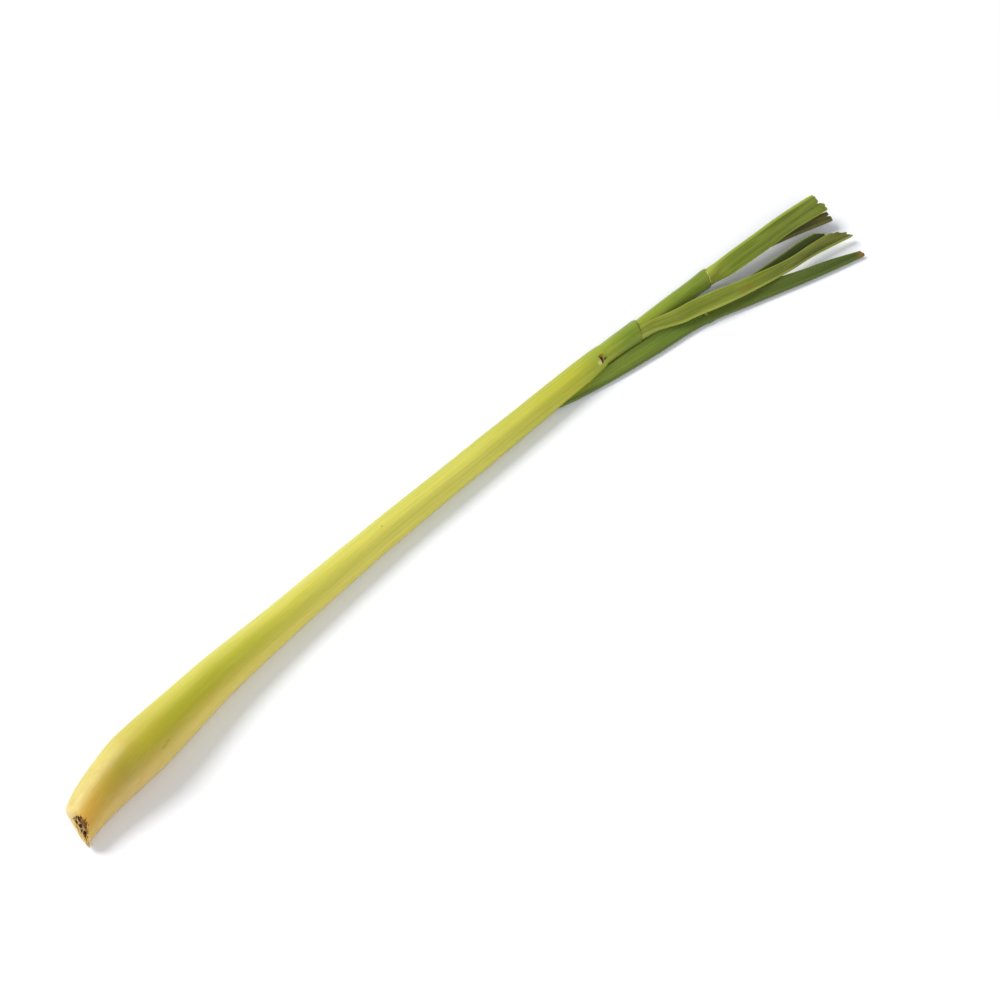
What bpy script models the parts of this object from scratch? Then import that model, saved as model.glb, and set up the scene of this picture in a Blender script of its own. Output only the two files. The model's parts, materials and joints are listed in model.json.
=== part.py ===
"""A fresh lemongrass stalk lying on its side, cut across the root and trimmed across the leaf tips.

The scene is in metres, +Z up. The tables below are in millimetres: x runs from the root to the leaf tips,
y across the stalk and z up from the surface that it lies on. Angles are seen from the root, in degrees,
from +y through +z. The finished stalk is moved so that the origin is under the middle of its box.
"""

import math
import random

import bmesh
import bpy
from mathutils import Vector

MM = 0.001
GAP = 0.3  # clearance between one leaf and the next
SIDES = 24  # sides of the round pieces
HALF_STEP = 180.0 / SIDES
FLAT = math.cos(math.radians(HALF_STEP))  # height of a ring's centre over its level bottom side, by its radius

# The stalk as its outer sheath shows it: x, y and radius, from the cut through the bulb to the first collar.
STALK = (
    (-8.0, -1.4, 6.1),
    (0.0, 1.5, 7.0),
    (10.0, 4.9, 8.3),
    (28.0, 8.2, 10.0),
    (39.0, 9.3, 10.2),
    (59.0, 12.1, 9.25),
    (80.0, 14.9, 8.25),
    (112.0, 17.3, 7.05),
    (167.0, 20.6, 6.0),
    (212.0, 21.8, 5.6),
    (260.0, 23.1, 5.2),
    (303.0, 23.8, 4.9),
)
SHEATH_END = 298.0
MARGIN = 217.5  # where the sheath's free margin runs along the stalk
LAP = 0.5  # step that the margin stands up

# The line that the inner sheaths follow out of the first one: x, y, z.
CORE = (
    (276.0, 23.6, 4.98),
    (300.0, 23.7, 4.95),
    (321.0, 22.7, 5.3),
    (343.0, 22.3, 5.7),
    (363.0, 21.9, 5.8),
    (380.0, 21.8, 5.9),
)
# Their radii: x, radius. Each swells at its collar.
SECOND_SHEATH = ((284.0, 4.0), (300.0, 4.1), (311.0, 4.6), (317.0, 4.8), (319.6, 5.15), (321.0, 5.0))
THIRD_SHEATH = ((307.0, 3.55), (321.0, 3.7), (345.0, 3.85), (359.0, 3.9), (361.8, 4.2), (363.2, 4.05))
INNER_ROOM = ((352.0, 2.0), (362.0, 2.1), (369.1, 2.1))

# The cut through the root leans over: how far it runs on towards the root, by radius, on each side.
CUT_X = -0.8
CUT_ACROSS = 0.67
CUT_UP = -0.19

BUTT_DEPTH = 9.0
BUTT_RADIUS = 5.6

BLADE = 0.66  # thickness of a blade
FOLD = 0.6  # radius of the fold at a keel
COLUMNS = 5  # strips on each side of the keel
FOLD_STEPS = 3
ROW = 4.0  # length of a strip along the blade

# Each blade: the keel is x, y, z; near and far are its two halves as x, width and direction from the keel.
# A clasp is how the blade's foot goes round the shoot: radius, direction of both margins, and where it ends.
SECOND_BLADE = dict(
    keel=(
        (314.0, 18.6, 3.8),
        (332.0, 14.6, 4.5),
        (344.0, 13.2, 5.2),
        (356.0, 10.4, 5.3),
        (368.0, 6.9, 5.1),
        (381.0, 4.0, 4.8),
        (394.0, 1.6, 4.2),
        (407.0, 0.1, 3.7),
        (428.0, -4.0, 3.2),
    ),
    near=(
        (314.0, 5.0, 60.0),
        (344.0, 5.2, 50.0),
        (368.0, 4.3, 46.0),
        (394.0, 3.9, 66.0),
        (410.0, 3.9, 76.0),
        (428.0, 2.8, 84.0),
    ),
    far=(
        (314.0, 2.2, 24.0),
        (334.0, 2.8, 24.0),
        (350.0, 4.4, 30.0),
        (368.0, 4.8, 32.0),
        (394.0, 6.1, 26.0),
        (428.0, 6.5, 26.0),
    ),
    clasp=(4.52, 110.0, 232.0, 316.0, 340.0),
    clear=(THIRD_SHEATH, 322.0, 364.0),
    trim=(428.0, 427.0, 415.5),
    teeth=1.5,
    curl=(-14.0, 12.0),
    seed=2,
)
THIRD_BLADE = dict(
    keel=(
        (357.0, 22.2, 8.6),
        (366.0, 21.7, 8.9),
        (382.0, 21.5, 9.7),
        (394.0, 21.2, 10.3),
        (408.0, 20.3, 11.0),
        (427.0, 18.0, 11.4),
    ),
    near=((357.0, 5.0, 215.0), (372.0, 6.4, 206.0), (385.0, 7.2, 201.0), (410.0, 7.7, 200.0), (427.0, 8.0, 200.0)),
    far=((357.0, 4.0, 320.0), (372.0, 5.0, 305.0), (385.0, 5.0, 305.0), (427.0, 4.0, 310.0)),
    clasp=(3.3, 200.0, 15.0, 359.0, 376.0),
    clear=(INNER_ROOM, 364.0, 369.0),
    trim=(425.5, 426.0, 424.5),
    teeth=1.6,
    curl=(16.0, -14.0),
    seed=3,
)
INNER_BLADE = dict(
    keel=(
        (354.0, 21.2, 5.4),
        (364.0, 20.3, 5.2),
        (378.0, 18.8, 4.9),
        (392.0, 15.7, 4.9),
        (405.0, 12.6, 4.7),
        (427.0, 7.0, 4.4),
    ),
    near=((354.0, 2.2, 60.0), (366.0, 2.6, 46.0), (380.0, 3.6, 38.0), (405.0, 4.2, 36.0), (427.0, 4.4, 34.0)),
    far=((354.0, 2.2, 10.0), (366.0, 2.6, 12.0), (380.0, 3.8, 8.0), (405.0, 4.4, 8.0), (427.0, 4.4, 6.0)),
    clasp=(1.45, 114.0, 297.0, 360.0, 376.0),
    clear=None,
    trim=(427.0, 427.6, 425.0),
    teeth=1.3,
    curl=(-8.0, 8.0),
    seed=4,
)
SIDE_BLADE = dict(
    keel=(
        (262.0, 21.0, 2.9),
        (270.0, 19.7, 2.0),
        (280.0, 17.6, 1.3),
        (298.0, 14.4, 1.25),
        (320.0, 11.4, 1.25),
        (346.0, 8.6, 1.25),
        (370.0, 2.7, 1.25),
        (394.0, -4.6, 1.2),
        (423.0, -13.6, 1.1),
    ),
    near=(
        (262.0, 1.0, 20.0),
        (270.0, 1.4, 16.0),
        (280.0, 2.4, 14.0),
        (298.0, 5.0, 13.0),
        (320.0, 6.0, 12.0),
        (346.0, 5.2, 12.0),
        (370.0, 4.2, 11.0),
        (394.0, 3.4, 28.0),
        (423.0, 1.7, 34.0),
    ),
    far=(
        (262.0, 1.0, 1.0),
        (280.0, 2.4, 1.0),
        (298.0, 5.0, 1.0),
        (320.0, 6.0, 1.0),
        (346.0, 5.2, 1.0),
        (370.0, 4.8, 3.0),
        (394.0, 3.6, 4.0),
        (423.0, 1.5, 2.0),
    ),
    clasp=None,
    clear=None,
    trim=(422.0, 423.5, 421.0),
    teeth=0.35,
    curl=(0.0, 0.0),
    seed=5,
)
SIDE_COLLAR = 349.0

COLOURS = {
    "root_butt": ((0.33, 0.19, 0.075), 0.85),
    "outer_sheath": ((0.60, 0.57, 0.20), 0.5),
    "second_leaf": ((0.20, 0.32, 0.045), 0.5),
    "third_leaf": ((0.19, 0.31, 0.045), 0.5),
    "inner_leaf": ((0.10, 0.13, 0.03), 0.6),
    "side_leaf": ((0.13, 0.23, 0.035), 0.55),
}


def clear_scene():
    for obj in list(bpy.data.objects):
        bpy.data.objects.remove(obj, do_unlink=True)


def collection(name):
    made = bpy.data.collections.new(name)
    bpy.context.scene.collection.children.link(made)
    return made


def material(name):
    colour, roughness = COLOURS[name]
    made = bpy.data.materials.new(name)
    made.use_nodes = True
    shader = made.node_tree.nodes["Principled BSDF"]
    shader.inputs["Base Color"].default_value = (*colour, 1.0)
    shader.inputs["Roughness"].default_value = roughness
    shader.inputs["Metallic"].default_value = 0.0
    return made


def along(stations, x):
    """The values at x of a smooth curve through the stations, whose first number is x."""
    last = len(stations) - 1
    i = min(max(sum(station[0] <= x for station in stations) - 1, 0), last - 1)
    before, start, end, after = (stations[min(max(i + k, 0), last)] for k in (-1, 0, 1, 2))
    span = end[0] - start[0]
    t = min(max((x - start[0]) / span, 0.0), 1.0)
    values = []
    for k in range(1, len(start)):
        leaving = (end[k] - before[k]) / (end[0] - before[0]) * span
        arriving = (after[k] - start[k]) / (after[0] - start[0]) * span
        values.append(
            start[k] * (1 + 2 * t) * (1 - t) ** 2
            + leaving * t * (1 - t) ** 2
            + end[k] * t * t * (3 - 2 * t)
            - arriving * t * t * (1 - t)
        )
    return values


def polar(degrees, radius=1.0):
    angle = math.radians(degrees)
    return Vector((math.cos(angle), math.sin(angle))) * radius


def stalk_line(x):
    """Centre of the stalk at x, which lies on the surface."""
    y, radius = along(STALK, x)
    return Vector((x, y, radius * FLAT))


def core_line(x):
    y, z = along(CORE, x)
    return Vector((x, y, z))


def skin(line, x, degrees, radius):
    """A point at that direction and radius round the line, square to it."""
    centre = line(x)
    run = line(x + 1.0) - line(x - 1.0)
    side = Vector((-run.y, run.x, 0.0)).normalized()
    out = polar(degrees, radius)
    return centre + side * out.x + Vector((0.0, 0.0, out.y))


def ring_directions():
    """Directions of a ring's corners, with one side level at the bottom."""
    return [MARGIN + 2 * HALF_STEP * k for k in range(SIDES)]


def body(name, rings, holder):
    """A closed body through rings of points, each end closed by a fan."""
    mesh = bmesh.new()
    rows = [[mesh.verts.new(point * MM) for point in ring] for ring in rings]
    count = len(rows[0])
    for low, high in zip(rows, rows[1:]):
        for k in range(count):
            mesh.faces.new((low[k], high[k], high[(k + 1) % count], low[(k + 1) % count]))
    for row in (rows[0], rows[-1]):
        middle = mesh.verts.new(sum((vert.co for vert in row), Vector()) / count)
        for k in range(count):
            mesh.faces.new((row[k], row[(k + 1) % count], middle))
    return finish(name, mesh, holder)


def finish(name, mesh, holder):
    bmesh.ops.recalc_face_normals(mesh, faces=mesh.faces)
    data = bpy.data.meshes.new(name)
    mesh.to_mesh(data)
    mesh.free()
    made = bpy.data.objects.new(name, data)
    holder.objects.link(made)
    return made


def as_part(obj):
    obj.data.materials.clear()
    obj.data.materials.append(material(obj.name))
    obj.data.shade_smooth()
    obj.data.set_sharp_from_angle(angle=math.radians(35.0))
    return obj


def as_cutter(obj):
    obj.hide_render = True
    obj.display_type = "WIRE"
    return obj


def join(obj, other, operation):
    """Cuts the other object out of this one, or fuses it on."""
    boolean = obj.modifiers.new(other.name, "BOOLEAN")
    boolean.operation = operation
    boolean.object = other
    boolean.solver = "EXACT"


def cut_reach(degrees, radius):
    """How far the slanting root cut runs along the stalk at that direction and radius."""
    out = polar(degrees, radius)
    return CUT_ACROSS * out.x + CUT_UP * out.y


def rim_reach(degrees, step):
    """The same at the skin, whose radius changes along the stalk."""
    reach = 0.0
    for _ in range(6):
        reach = cut_reach(degrees, along(STALK, CUT_X + reach)[1] + step)
    return reach


def outer_sheath(holder):
    """The bulb and lower stalk: a rolled sheath with its free margin, its slanting cut and its torn lip."""
    rng = random.Random(1)
    corners = [(direction, k / SIDES) for k, direction in enumerate(ring_directions())]
    corners.append((MARGIN + 359.2, 1.0))
    lip = {direction: rng.uniform(-0.8, 0.8) + 1.3 * polar(direction - 45.0).x for direction, _ in corners}
    stations = [0, 3, 7, 12, 18, 24, 31, 38, 46, 55, 65, 76, 90, 106, 124, 145, 170, 196, 222, 242, 258]
    stations += [268, 277, 286, 292, 295, 297]
    rings = []
    for station in stations:
        ring = []
        to_cut = max(0.0, 1.0 - station / 40.0) ** 1.3
        to_lip = max(0.0, (station - 286.0) / 11.0)
        for direction, turn in corners:
            step = LAP * (turn - 0.5)
            x = CUT_X + station * (SHEATH_END - CUT_X) / 297.0
            x += rim_reach(direction, step) * to_cut + lip[direction] * to_lip
            radius = along(STALK, x)[1] + step
            point = skin(stalk_line, x, direction, radius)
            level = abs((direction - 270.0 + 180.0) % 360.0 - 180.0) < HALF_STEP + 0.1
            point.z = 0.0 if level else max(point.z, 0.0)
            ring.append(point)
        rings.append(ring)
    return body("outer_sheath", rings, holder)


def sheath(name, radii, lean, extra, holder):
    """A rod along the core line: a leaf's sheath, or with extra radius the socket for one."""
    ends = [radii[0][0] - extra, radii[-1][0]]
    stations = [ends[0]] + [station[0] for station in radii[1:]]
    steps = []
    for low, high in zip(stations, stations[1:]):
        count = max(1, round((high - low) / 7.0))
        steps += [low + (high - low) * k / count for k in range(count)]
    steps.append(stations[-1])
    rings = []
    for x in steps:
        to_end = max(0.0, (x - ends[1] + 4.0) / 4.0)
        ring = []
        for direction in ring_directions():
            at = x + lean * polar(direction).x * to_end
            ring.append(skin(core_line, at, direction, along(radii, min(at, ends[1]))[0] + extra))
        rings.append(ring)
    return body(name, rings, holder)


def socket_for(radii, reach, holder):
    """Cutter for the socket of a sheath, run on past the mouth."""
    longer = radii[:-2] + ((radii[-3][0] + reach, radii[-3][1] + 0.05),)
    return as_cutter(sheath("socket_" + str(int(radii[0][0])), longer, 0.0, GAP, holder))


def fold_section(blade, x, widen):
    """The blade's mid-line across at x, from the near margin round the keel to the far one."""
    keel = Vector(along(blade["keel"], x))
    near_width, near_way = along(blade["near"], x)
    far_width, far_way = along(blade["far"], x)
    turn = 1.0 if near_way > far_way else -1.0
    near_out = near_way + 90.0 * turn
    far_out = far_way - 90.0 * turn + 360.0 * turn
    near_curl, far_curl = blade["curl"]
    points = []
    for k in range(COLUMNS, 0, -1):
        reach = k / COLUMNS
        points.append(keel + polar(near_out, FOLD)
                      + polar(near_way + near_curl * reach / 2, (near_width + widen) * reach))
    for k in range(FOLD_STEPS + 1):
        points.append(keel + polar(near_out + (far_out - near_out) * k / FOLD_STEPS, FOLD))
    for k in range(1, COLUMNS + 1):
        reach = k / COLUMNS
        points.append(keel + polar(far_out, FOLD)
                      + polar(far_way + far_curl * reach / 2, (far_width + widen) * reach))
    return points


def smooth(t):
    t = min(max(t, 0.0), 1.0)
    return t * t * (3.0 - 2.0 * t)


def blade_point(blade, x, k, widen=0.0):
    """Point k across the blade's mid-surface at x."""
    point = fold_section(blade, x, widen)[k]
    if blade["clasp"]:
        radius, near_way, far_way, start, end = blade["clasp"]
        way = near_way + (far_way - near_way) * k / (2 * COLUMNS + FOLD_STEPS)
        foot = Vector(along(CORE, x)) + polar(way, radius)
        point = foot.lerp(point, smooth((x - start) / (end - start)))
    if blade["clear"]:
        radii, start, end = blade["clear"]
        if start <= x <= end:
            off = point - Vector(along(CORE, x))
            keep = along(radii, x)[0] + GAP + 0.1 + BLADE / 2
            if off.length < keep:
                point = point + off.normalized() * (keep - off.length)
    if blade is SIDE_BLADE:
        swell = 0.35 * math.exp(-(((x - SIDE_COLLAR) / 1.3) ** 2))
        middle = Vector(along(blade["keel"], x)) + Vector((1.5, 0.3))
        point = point + (point - middle).normalized() * swell
    return Vector((x, point.x, point.y))


def blade(name, shape, holder):
    """A folded blade as an open surface with a ragged end, made solid."""
    rng = random.Random(shape["seed"])
    columns = 2 * COLUMNS + FOLD_STEPS + 1
    start = shape["keel"][0][0]
    near_trim, keel_trim, far_trim = shape["trim"]
    ends = []
    for k in range(columns):
        across = 2.0 * k / (columns - 1) - 1.0
        edge = near_trim if across < 0 else far_trim
        ends.append(keel_trim + (edge - keel_trim) * abs(across) + shape["teeth"] * rng.uniform(0.35, 1.0) * (-1) ** k)
    tip = max(near_trim, keel_trim, far_trim)
    stations = [start + ROW * i for i in range(int((tip - start - 2.0) / ROW) + 1)]
    if shape is SIDE_BLADE:
        stations = sorted(stations + [SIDE_COLLAR + step for step in (-1.5, -0.6, 0.3, 1.2)])
    mesh = bmesh.new()
    rows = []
    shear_from = tip - 30.0
    for x in stations + [tip]:
        row = []
        for k in range(columns):
            at = x if x < shear_from else shear_from + (x - shear_from) * (ends[k] - shear_from) / (tip - shear_from)
            row.append(mesh.verts.new(blade_point(shape, at, k) * MM))
        rows.append(row)
    for low, high in zip(rows, rows[1:]):
        for k in range(columns - 1):
            mesh.faces.new((low[k], high[k], high[k + 1]))
            mesh.faces.new((low[k], high[k + 1], low[k + 1]))
    made = finish(name, mesh, holder)
    solid = made.modifiers.new("thickness", "SOLIDIFY")
    solid.thickness = BLADE * MM
    solid.offset = 0.0
    return made


def slot_for(shape, end, holder):
    """Cutter round a folded blade, closed across its opening."""
    rings = []
    start = shape["keel"][0][0] - GAP
    steps = round((end - start) / ROW)
    for i in range(steps + 1):
        x = start + (end - start) * i / steps
        points = fold_section(shape, x, GAP)
        ring = []
        for k, point in enumerate(points):
            ahead = points[min(k + 1, len(points) - 1)] - points[max(k - 1, 0)]
            out = Vector((ahead.y, -ahead.x)).normalized() * (BLADE / 2 + GAP)
            if (point + out - sum(points, Vector((0.0, 0.0))) / len(points)).length < (
                point - out - sum(points, Vector((0.0, 0.0))) / len(points)
            ).length:
                out = -out
            ring.append(Vector((x, point.x + out.x, point.y + out.y)))
        rings.append(ring)
    return as_cutter(body("slot", rings, holder))


def root_butt(holder):
    """The woody cut end: a plug in the sheath with a torn flange and the broken edges of its layers."""
    rng = random.Random(7)
    profile = [
        (BUTT_DEPTH, 0.86, 0.0),
        (BUTT_DEPTH * 0.5, 0.97, 0.0),
        (-0.4, 1.0, 0.0),
        (-0.45, 1.17, 0.1),
        (-1.5, 1.19, 1.0),
        (-1.7, 1.03, 0.9),
        (-0.2, 0.93, 0.3),
        (-1.2, 0.79, 0.9),
        (-1.1, 0.70, 0.7),
        (0.1, 0.62, 0.3),
        (-0.8, 0.50, 0.7),
        (-0.7, 0.41, 0.5),
        (0.3, 0.32, 0.2),
        (-0.4, 0.18, 0.4),
    ]
    rings = []
    for depth, share, rag in profile:
        ring = []
        for direction in ring_directions():
            radius = BUTT_RADIUS * share
            torn = rag * rng.uniform(-0.6, 0.6)
            out = min(depth - torn, depth + 0.4)
            if out < -0.45:
                out = -0.45 + (out + 0.45) * (0.65 + 0.35 * polar(direction - 45.0).x)
            x = CUT_X + cut_reach(direction, radius) + out
            ring.append(skin(stalk_line, x, direction, radius - 0.12 * torn))
        rings.append(ring)
    return body("root_butt", rings, holder)


def butt_socket(holder):
    rings = []
    for depth in (BUTT_DEPTH + GAP, BUTT_DEPTH * 0.5, 0.3, -9.0):
        share = 0.88 if depth > BUTT_DEPTH else 1.0
        ring = []
        for direction in ring_directions():
            radius = BUTT_RADIUS * share + GAP
            x = CUT_X + cut_reach(direction, radius) + depth
            ring.append(skin(stalk_line, x, direction, radius))
        rings.append(ring)
    return as_cutter(body("butt_socket", rings, holder))


def place(parts, everything):
    """Hangs every object on one empty, set so that the origin is under the middle of the stalk."""
    bpy.context.view_layer.update()
    graph = bpy.context.evaluated_depsgraph_get()
    corners = []
    for part in parts:
        evaluated = part.evaluated_get(graph)
        corners += [vert.co.copy() for vert in evaluated.data.vertices]
    middle = [(min(c[i] for c in corners) + max(c[i] for c in corners)) / 2 for i in (0, 1)]
    hub = bpy.data.objects.new("stalk", None)
    bpy.context.scene.collection.objects.link(hub)
    hub.location = (-middle[0], -middle[1], 0.0)
    for obj in everything:
        obj.parent = hub
    print("origin is at", [round(value / MM, 3) for value in middle], "mm of the tables")


def main():
    clear_scene()
    stalk = collection("lemongrass_stalk")
    tools = collection("cutters")

    outer = as_part(outer_sheath(stalk))
    as_part(root_butt(stalk))
    second = as_part(sheath("second_leaf", SECOND_SHEATH, 1.8, 0.0, stalk))
    third = as_part(sheath("third_leaf", THIRD_SHEATH, 1.7, 0.0, stalk))
    as_part(blade("inner_leaf", INNER_BLADE, stalk))
    as_part(blade("side_leaf", SIDE_BLADE, stalk))

    join(outer, butt_socket(tools), "DIFFERENCE")
    join(outer, socket_for(SECOND_SHEATH, 20.0, tools), "DIFFERENCE")
    join(outer, slot_for(SIDE_BLADE, 306.0, tools), "DIFFERENCE")
    join(second, socket_for(THIRD_SHEATH, 20.0, tools), "DIFFERENCE")
    join(second, as_cutter(blade("second_blade", SECOND_BLADE, tools)), "UNION")
    join(third, socket_for(INNER_ROOM, 20.0, tools), "DIFFERENCE")
    join(third, as_cutter(blade("third_blade", THIRD_BLADE, tools)), "UNION")

    parts = list(stalk.objects)
    place(parts, parts + list(tools.objects))


main()
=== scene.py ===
"""The look of a fresh lemongrass stalk: bulb, rolled sheaths, collars, folded blades and their torn ends.

The tables are in millimetres, as the stalk was laid out: x runs from the root to the leaf tips, y across and
z up from the surface. Angles are in degrees as the root's end shows them, from +y through +z.
"""

import json
import math

import bpy
import numpy as np
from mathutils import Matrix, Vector


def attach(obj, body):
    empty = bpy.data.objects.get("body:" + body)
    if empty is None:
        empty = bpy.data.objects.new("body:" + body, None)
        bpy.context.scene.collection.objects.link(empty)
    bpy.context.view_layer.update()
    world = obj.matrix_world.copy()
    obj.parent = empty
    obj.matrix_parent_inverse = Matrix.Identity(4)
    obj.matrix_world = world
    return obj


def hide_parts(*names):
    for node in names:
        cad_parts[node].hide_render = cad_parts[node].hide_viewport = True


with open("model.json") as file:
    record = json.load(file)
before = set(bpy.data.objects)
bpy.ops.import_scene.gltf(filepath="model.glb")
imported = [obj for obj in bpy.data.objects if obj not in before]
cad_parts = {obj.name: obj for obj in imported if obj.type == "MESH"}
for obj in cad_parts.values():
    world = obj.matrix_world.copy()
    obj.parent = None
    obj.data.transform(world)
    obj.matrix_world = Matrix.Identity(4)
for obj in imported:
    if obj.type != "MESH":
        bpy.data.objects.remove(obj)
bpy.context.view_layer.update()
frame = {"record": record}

MM = 0.001
GAP = 0.3  # room between a sheath and the leaf that comes out of it
# The solids are 24-sided, so their flat sides lie this share of the radius from their middle.
FLAT = math.cos(math.radians(7.5))
REST_AT = 120.0  # where along the stalk the record's rest mount is

# The stalk as x, y of its middle and radius, then the inner leaves' middle as x, y, z.
STALK = (
    (-8.0, -0.6, 5.6), (0.0, 2.2, 6.45), (10.0, 5.2, 7.95), (28.0, 8.2, 10.0), (39.0, 9.3, 10.2),
    (59.0, 12.1, 9.25), (80.0, 14.9, 8.25), (112.0, 17.3, 7.05), (167.0, 20.6, 6.0),
    (212.0, 21.8, 5.6), (260.0, 23.1, 5.2), (303.0, 23.8, 4.9),
)
SHEATH_END = 299.6
MARGIN = 217.5  # the direction of the outer sheath's free margin
LAP = 0.5  # how far that margin stands out over the start of the roll

CORE = (
    (276.0, 23.6, 4.98), (300.0, 23.7, 4.95), (321.0, 22.7, 5.3), (343.0, 22.3, 5.7),
    (363.0, 21.9, 5.8), (380.0, 21.8, 5.9),
)
# Outer profile of the two inner sheaths, and the radius of the leaf that comes out of each.
SECOND_PROFILE = (
    (292.0, 4.38), (300.0, 4.42), (311.0, 4.66), (317.0, 4.78), (319.3, 4.84), (320.4, 4.76),
    (321.2, 4.5),
)
THIRD_PROFILE = (
    (310.0, 3.8), (321.0, 3.95), (330.0, 3.95), (345.0, 3.88), (359.0, 3.9), (361.8, 4.02),
    (363.4, 3.8),
)
THIRD_ROOM = ((307.0, 3.75), (321.0, 3.95), (345.0, 3.9), (359.0, 3.9), (361.8, 4.0), (363.2, 3.95))
INNER_ROOM = ((352.0, 2.0), (362.0, 2.1), (369.1, 2.1))

# The slanting cut through the root, as x at the stalk's middle and its slope across and up.
CUT_X = -0.8
CUT_ACROSS = 0.5
CUT_UP = 0.02
BUTT_RADIUS = 4.95

BLADE = 0.66  # thickness of the solid blade, which sets how far blades keep from a shoot
FOLD = 0.6
HALF = 5.0  # the fold's path: HALF steps of one side, ARC steps round the keel, HALF steps of the other
ARC = 3.0
ACROSS = 2 * HALF + ARC

# Each blade: its keel as x, y, z, and its two halves as x, width and direction. Then how it clasps the shoot
# (radius, near and far direction, where it starts and ends), the shoot it keeps clear of, its trimmed end at
# the near margin, keel and far margin, how ragged and how blunt that end is, the halves' curl and its splits
# (steps across, width, depth).
SECOND_BLADE = dict(
    keel=(
        (314.0, 18.6, 3.8), (332.0, 14.4, 4.5), (344.0, 11.7, 5.1), (356.0, 8.1, 5.2),
        (368.0, 5.2, 5.0), (381.0, 3.0, 4.6), (394.0, 1.2, 4.2), (407.0, 0.1, 3.7),
        (428.0, -4.0, 3.2),
    ),
    near=(
        (314.0, 5.0, 60.0), (344.0, 6.4, 50.0), (356.0, 6.6, 48.0), (368.0, 6.0, 48.0),
        (394.0, 4.6, 62.0), (410.0, 5.0, 62.0), (428.0, 6.2, 62.0),
    ),
    far=(
        (314.0, 2.2, 24.0), (334.0, 2.8, 24.0), (350.0, 4.4, 30.0), (368.0, 5.0, 34.0),
        (394.0, 7.2, 34.0), (428.0, 8.2, 36.0),
    ),
    clasp=(4.46, 110.0, 232.0, 318.0, 341.0),
    clear=(THIRD_ROOM, 322.0, 364.0),
    trim=(418.0, 430.6, 413.5),
    teeth=1.7,
    blunt=3.6,
    curl=(-14.0, 12.0),
    seed=2,
    slits=((11.2, 0.3, 1.6), (3.6, 0.25, 1.3), (1.7, 0.25, 1.2)),
)
THIRD_BLADE = dict(
    keel=(
        (357.0, 22.2, 8.6), (366.0, 22.3, 8.9), (376.0, 22.1, 9.6), (386.0, 21.5, 10.1),
        (394.0, 20.9, 10.5), (408.0, 20.1, 11.0), (427.0, 18.1, 11.5),
    ),
    near=(
        (357.0, 5.0, 215.0), (372.0, 7.4, 206.0), (385.0, 8.0, 203.0), (410.0, 8.0, 200.0),
        (427.0, 8.6, 200.0),
    ),
    far=((357.0, 4.0, 320.0), (372.0, 5.0, 305.0), (385.0, 5.0, 305.0), (427.0, 4.0, 310.0)),
    clasp=(3.5, 205.0, -55.0, 360.5, 372.0),
    clear=(INNER_ROOM, 364.0, 369.0),
    trim=(428.2, 425.8, 424.6),
    teeth=0.7,
    blunt=0.0,
    curl=(16.0, -14.0),
    seed=3,
    slits=((2.7, 0.25, 1.7), (0.9, 0.2, 0.6)),
    crease=(2.6, 384.0, 0.42),
)
INNER_BLADE = dict(
    keel=(
        (354.0, 21.2, 5.4), (364.0, 20.3, 5.2), (378.0, 19.2, 5.0), (392.0, 16.9, 5.1),
        (405.0, 13.9, 5.0), (427.0, 7.6, 4.6),
    ),
    near=((354.0, 2.2, 60.0), (366.0, 2.6, 46.0), (380.0, 3.2, 38.0), (405.0, 3.5, 36.0), (427.0, 3.9, 34.0)),
    far=((354.0, 2.2, 10.0), (366.0, 2.6, 12.0), (380.0, 3.8, 8.0), (405.0, 4.4, 8.0), (427.0, 4.4, 6.0)),
    clasp=(1.45, 114.0, 297.0, 360.0, 376.0),
    clear=None,
    trim=(427.0, 427.6, 425.0),
    teeth=0.9,
    blunt=0.4,
    curl=(-8.0, 8.0),
    seed=4,
    slits=((2.6, 0.3, 1.4),),
)
SIDE_BLADE = dict(
    keel=(
        (262.0, 21.0, 2.9), (270.0, 19.7, 2.0), (280.0, 17.6, 1.3), (298.0, 14.4, 1.25),
        (320.0, 11.4, 1.25), (346.0, 8.4, 1.25), (370.0, 1.4, 1.25), (394.0, -5.9, 1.2),
        (408.0, -9.8, 1.2), (423.0, -13.6, 1.1),
    ),
    near=(
        (262.0, 1.0, 20.0), (270.0, 1.4, 16.0), (280.0, 2.4, 14.0), (298.0, 5.4, 30.0),
        (320.0, 7.0, 22.0), (346.0, 7.6, 14.0), (370.0, 7.4, 12.0), (394.0, 5.0, 24.0),
        (408.0, 4.0, 30.0), (423.0, 1.9, 34.0),
    ),
    far=(
        (262.0, 1.0, 1.0), (280.0, 2.4, 1.0), (298.0, 5.0, 1.0), (320.0, 6.0, 1.0),
        (346.0, 5.2, 1.0), (370.0, 5.4, 3.0), (394.0, 4.6, 4.0), (423.0, 1.6, 2.0),
    ),
    clasp=None,
    clear=None,
    trim=(422.6, 423.6, 422.0),
    teeth=0.3,
    blunt=0.2,
    curl=(0.0, 0.0),
    seed=5,
    slits=((9.0, 0.5, 0.5),),
)
SIDE_COLLAR = 349.0


# Shape


def along(stations, x):
    """The values at each x of a smooth curve through the stations, whose first number is x."""
    table = np.array(stations, float)
    x = np.asarray(x, float)
    last = len(table) - 1
    i = np.clip(np.searchsorted(table[:, 0], x, side="right") - 1, 0, last - 1)
    before, start, end, after = (table[np.clip(i + k, 0, last)] for k in (-1, 0, 1, 2))
    span = end[..., :1] - start[..., :1]
    t = np.clip((x[..., None] - start[..., :1]) / span, 0.0, 1.0)
    leaving = (end - before)[..., 1:] / (end - before)[..., :1] * span
    arriving = (after - start)[..., 1:] / (after - start)[..., :1] * span
    return (
        start[..., 1:] * (1 + 2 * t) * (1 - t) ** 2
        + leaving * t * (1 - t) ** 2
        + end[..., 1:] * t * t * (3 - 2 * t)
        - arriving * t * t * (1 - t)
    )


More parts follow.
